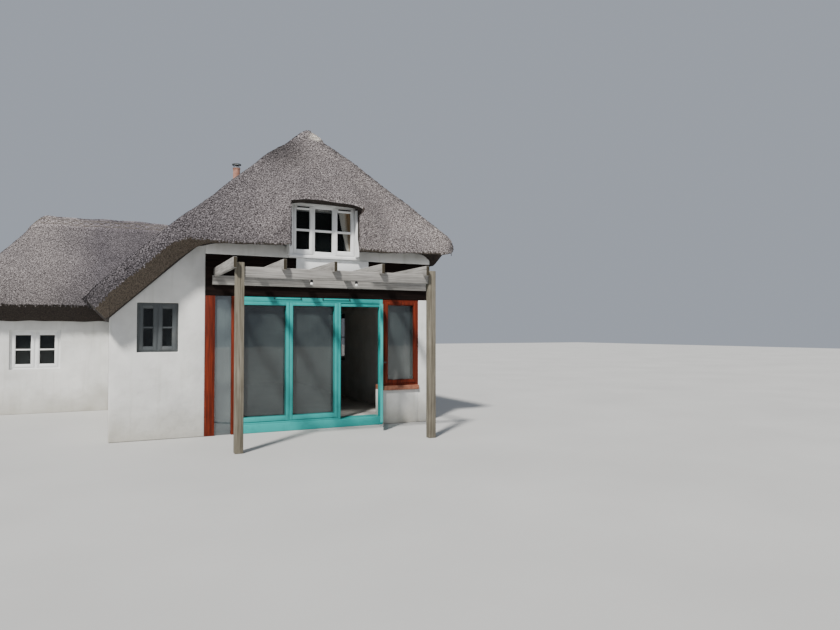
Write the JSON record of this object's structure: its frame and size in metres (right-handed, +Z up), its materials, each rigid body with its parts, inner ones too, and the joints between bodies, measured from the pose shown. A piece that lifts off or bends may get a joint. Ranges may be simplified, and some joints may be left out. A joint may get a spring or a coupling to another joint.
{
  "type": "thatched cottage",
  "caption": "Thatched cottage with a hipped catslide straw roof, window dormer under a straw brow, lower side range, glazed doors with one hinged leaf and a timber pergola.",
  "frame": {"origin": "middle of the main block on the underside of its floor slab, at ground level", "axes": "+X along the garden front to the right seen from the garden, +Y from the garden front back into the house, +Z up"},
  "size_m": [8.75, 10.81, 6.4806],
  "materials": {
    "concrete": "matt",
    "floor_boards": "satin",
    "white_render": "matt",
    "dark_timber": "matt",
    "stained_timber": "satin",
    "weathered_oak": "matt",
    "sill_tile": "matt",
    "window_glass": "clear",
    "dark_frame": "satin",
    "white_paint": "satin",
    "teal_paint": "satin",
    "black_iron": "satin",
    "thatch": "rough",
    "curtain_cloth": "matt",
    "steel": "brushed",
    "clay": "matt"
  },
  "bodies": {
    "cottage": {"apron_board": "white_paint", "chimney_cowl": "steel", "chimney_pot": "clay", "chimney_stack": "white_render", "curtain": "curtain_cloth", "curtain_pole": "steel", "door_frame": "teal_paint", "door_glass": "window_glass", "door_hinge_lower": "black_iron", "door_hinge_upper": "black_iron", "door_threshold": "teal_paint", "dormer_glass": "window_glass", "dormer_sill": "white_paint", "dormer_surround": "white_paint", "dormer_window": "white_paint", "dwarf_wall": "white_render", "front_pier": "white_render", "front_wall_left": "white_render", "gable_panel": "white_render", "ground_floor": "concrete", "head_beam": "dark_timber", "left_wall": "white_render", "pergola_beam": "weathered_oak", "pergola_lamp_left": "black_iron", "pergola_lamp_right": "black_iron", "pergola_ledger": "weathered_oak", "pergola_post_left": "weathered_oak", "pergola_post_right": "weathered_oak", "pergola_rafter_1": "weathered_oak", "pergola_rafter_2": "weathered_oak", "pergola_rafter_3": "weathered_oak", "pergola_rafter_4": "weathered_oak", "pergola_rafter_5": "weathered_oak", "range_thatch": "thatch", "range_walls": "white_render", "range_window_frame": "white_paint", "range_window_glass": "window_glass", "rear_wall": "white_render", "rear_window_frame": "white_paint", "rear_window_glass": "window_glass", "right_wall": "white_render", "right_window_frame": "white_paint", "right_window_glass": "window_glass", "side_window_frame": "stained_timber", "side_window_glass": "window_glass", "sidelight_glass": "window_glass", "small_window_frame": "dark_frame", "small_window_glass": "window_glass", "thatch_front_hip": "thatch", "thatch_left_slope": "thatch", "thatch_rear_hip": "thatch", "thatch_ridge": "thatch", "thatch_right_slope": "thatch", "timber_post_left": "stained_timber", "timber_post_middle": "stained_timber", "upper_floor": "floor_boards", "window_sill": "sill_tile"},
    "door": {"door_leaf": "teal_paint", "door_leaf_glass": "window_glass", "door_handle": "black_iron"}
  },
  "joints": [
    {"name": "door_swing", "type": "hinge", "parent": "cottage", "child": "door", "pos_m": [1.716, -4.3325, 0], "axis": [0, 0, 1], "range_deg": [-67.5, 22.5]}
  ]
}
